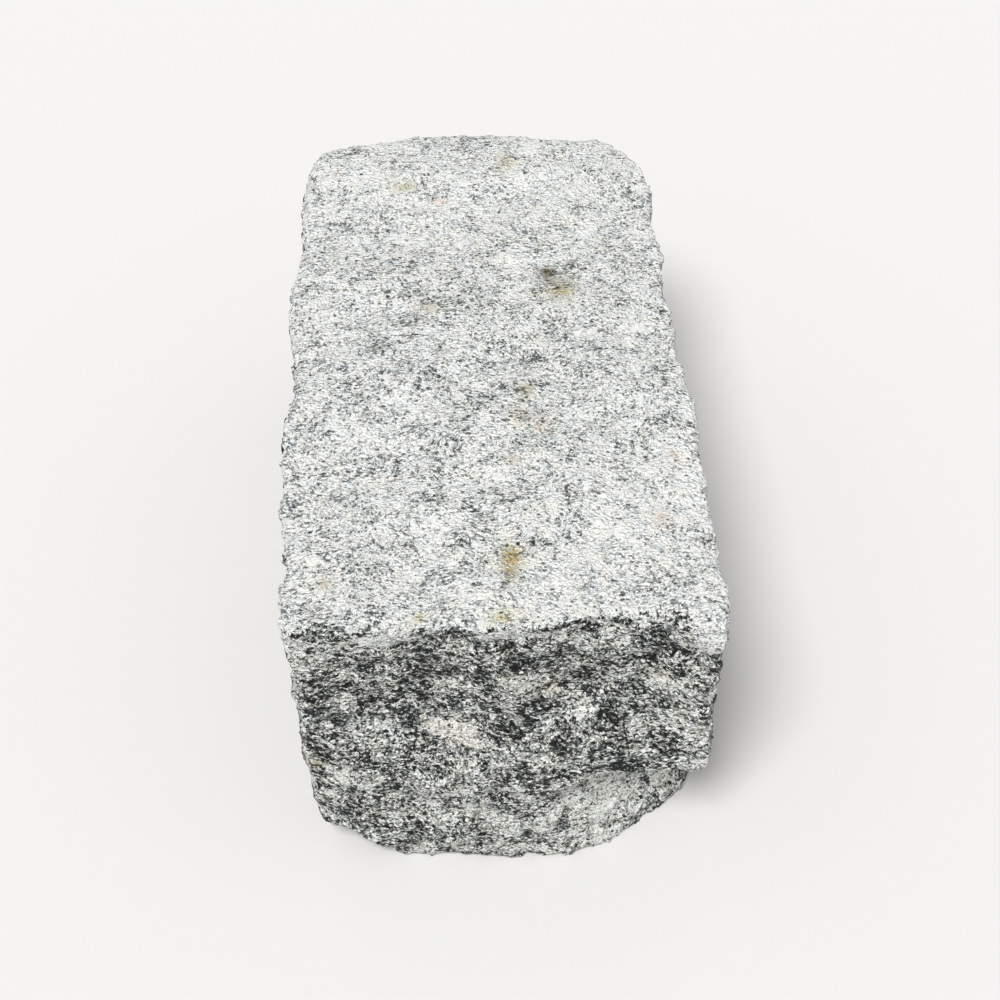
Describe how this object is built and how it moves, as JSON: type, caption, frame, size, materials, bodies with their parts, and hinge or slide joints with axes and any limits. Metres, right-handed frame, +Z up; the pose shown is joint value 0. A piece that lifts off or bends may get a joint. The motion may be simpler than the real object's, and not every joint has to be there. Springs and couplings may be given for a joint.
{
  "type": "granite belgian block",
  "caption": "Hammer-dressed granite paving block with a crowned head, split sides and one broken lower corner, laid in rows as edging or street paving",
  "frame": {"origin": "the middle of the underside of the block's overall box, on the plane of the bed", "axes": "X across the width, Y along the length with the split end that is seen in front at -Y, Z up from the bed to the head"},
  "size_m": [0.1302, 0.2488, 0.1066],
  "materials": {
    "granite": "hammer-dressed and split, unpolished"
  },
  "bodies": {
    "root": {"granite_block": "granite"}
  },
  "joints": []
}
